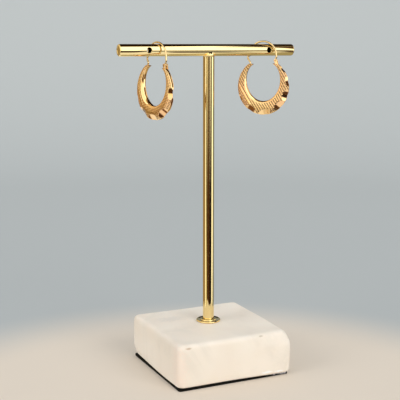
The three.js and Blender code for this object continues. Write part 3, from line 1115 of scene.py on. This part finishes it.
def make_floor():
    settings = bpy.context.scene.earring_stand.stage
    steps = 24
    sweep = 0.6
    outline = [(0.0, 0.0)]
    outline += [(settings.radius * n / steps, 0.0) for n in range(1, steps)]
    for n in range(steps + 1):
        turn = math.pi / 2 * n / steps
        outline.append((settings.radius + sweep * math.sin(turn), sweep * (1 - math.cos(turn))))
    floor = spun("floor", outline, 96, closed=False, threshold=1e-6, inside=True)
    bpy.ops.object.shade_smooth()
    material, tree, shader = nodes_of("pale_floor")
    # Painted pool of light: the floor is paler and warmer near the object and greyer further off.
    where = tree.nodes.new("ShaderNodeTexCoord")
    away = tree.nodes.new("ShaderNodeVectorMath")
    away.operation = "DISTANCE"
    away.inputs[1].default_value = PAINTED_POOL_PLACE
    link(tree, where, "Object", away, 0)
    far = fit_range(tree, away, "Value", PAINTED_POOL_SPREAD, (0, 1))
    far.interpolation_type = "SMOOTHSTEP"
    tint = mix(tree, far, "Result", settings.floor, settings.far)
    link(tree, tint, 2, shader, "Base Color")
    shader.inputs["Roughness"].default_value = 0.9
    shader.inputs["Specular IOR Level"].default_value = 0.1
    floor.data.materials.append(material)
    floor.visible_glossy = False
    floor.visible_shadow = False


def soft_sun(name, strength, heading, height, colour):
    """A wide, soft light from a heading right of the view and a height, in degrees."""
    side = math.radians(heading - CAMERA_HEADING)
    rise = math.radians(height)
    level = math.cos(rise)
    toward = Vector((math.sin(side) * level, -math.cos(side) * level, math.sin(rise)))
    aim = toward.to_track_quat("Z", "Y").to_euler()
    bpy.ops.object.light_add(type="SUN", location=toward, rotation=aim)
    light = added(name)
    light.data.energy = strength
    light.data.angle = math.radians(SUN_WIDTH)
    light.data.color = colour
    light.visible_glossy = False


def make_lights():
    settings = bpy.context.scene.earring_stand.stage
    soft_sun("key_light", settings.key, *KEY_LIGHT)
    soft_sun("fill_light", settings.fill, *FILL_LIGHT)


def between(tree, source, output, low, high, soft):
    """A mask that is one between two values, with soft ends."""
    rise = fit_range(tree, source, output, (low - soft, low + soft), (0, 1))
    fall = fit_range(tree, source, output, (high - soft, high + soft), (1, 0))
    return reckon(tree, "MULTIPLY", (rise, "Result"), (fall, "Result"))


def make_surroundings():
    """The plain light that falls on the object, and the soft room that its metal mirrors."""
    world = bpy.data.worlds.new("soft_room")
    bpy.context.scene.world = world
    world.use_nodes = True
    world.cycles.sampling_method = "NONE"
    tree = world.node_tree
    tree.nodes.clear()
    way = tree.nodes.new("ShaderNodeTexCoord")
    parts = tree.nodes.new("ShaderNodeSeparateXYZ")
    link(tree, way, "Generated", parts, 0)
    rise = reckon(tree, "ARCSINE", (parts, "Z"))
    height = reckon(tree, "MULTIPLY", (rise, 0), math.degrees(1))
    ahead = reckon(tree, "MULTIPLY", (parts, "Y"), -1)
    swing = reckon(tree, "ARCTAN2", (parts, "X"), (ahead, 0))
    heading = reckon(tree, "MULTIPLY", (swing, 0), math.degrees(1))
    heading = reckon(tree, "ADD", (heading, 0), CAMERA_HEADING)
    heading = reckon(tree, "WRAP", (heading, 0), 180)
    heading.inputs[2].default_value = -180
    room = tree.nodes.new("ShaderNodeRGB")
    room.outputs[0].default_value = (*ROOM_DARK, 1)
    below = (room, 0)
    for left, right, low, high, soft, colour in ROOM:
        wide = between(tree, heading, 0, left, right, soft)
        tall = between(tree, height, 0, low, high, soft)
        mask = reckon(tree, "MULTIPLY", (wide, 0), (tall, 0))
        below = (mix(tree, mask, 0, below, colour), 2)
    path = tree.nodes.new("ShaderNodeLightPath")
    plain = bpy.context.scene.earring_stand.stage.ambient
    chosen = mix(tree, path, "Is Glossy Ray", plain, below)
    background = tree.nodes.new("ShaderNodeBackground")
    link(tree, chosen, 2, background, "Color")
    output = tree.nodes.new("ShaderNodeOutputWorld")
    link(tree, background, "Background", output, "Surface")


class EARSTAND_PT_panel(bpy.types.Panel):
    """The earring stand's settings and steps"""

    bl_label = "Earring Stand"
    bl_idname = "EARSTAND_PT_panel"
    bl_space_type = "VIEW_3D"
    bl_region_type = "UI"
    bl_category = "Earrings"

    def draw(self, context):
        layout = self.layout
        settings = context.scene.earring_stand
        for group in (settings.brass, settings.gold, settings.stone, settings.stage):
            box = layout.box()
            for name in group.__annotations__:
                box.prop(group, name)
        for step in STEPS:
            layout.operator(step.bl_idname)


STEPS = (
    EARSTAND_OT_stage,
    EARSTAND_OT_pad,
    EARSTAND_OT_marble_block,
    EARSTAND_OT_flange,
    EARSTAND_OT_t_bar,
    EARSTAND_OT_hoops,
    EARSTAND_OT_ear_wires,
)

CLASSES = (
    BrassSettings,
    GoldSettings,
    StoneSettings,
    StageSettings,
    EarringStandSettings,
    *STEPS,
    EARSTAND_PT_panel,
)


def register():
    for cls in CLASSES:
        bpy.utils.register_class(cls)
    bpy.types.Scene.earring_stand = PointerProperty(type=EarringStandSettings)


def unregister():
    del bpy.types.Scene.earring_stand
    for cls in reversed(CLASSES):
        bpy.utils.unregister_class(cls)


def main():
    register()
    deselect()
    bpy.ops.earstand.stage()
    bpy.ops.earstand.pad()
    bpy.ops.earstand.marble_block()
    bpy.ops.earstand.flange()
    bpy.ops.earstand.t_bar()
    bpy.ops.earstand.hoops()
    bpy.ops.earstand.ear_wires()


if __name__ == "__main__":
    main()
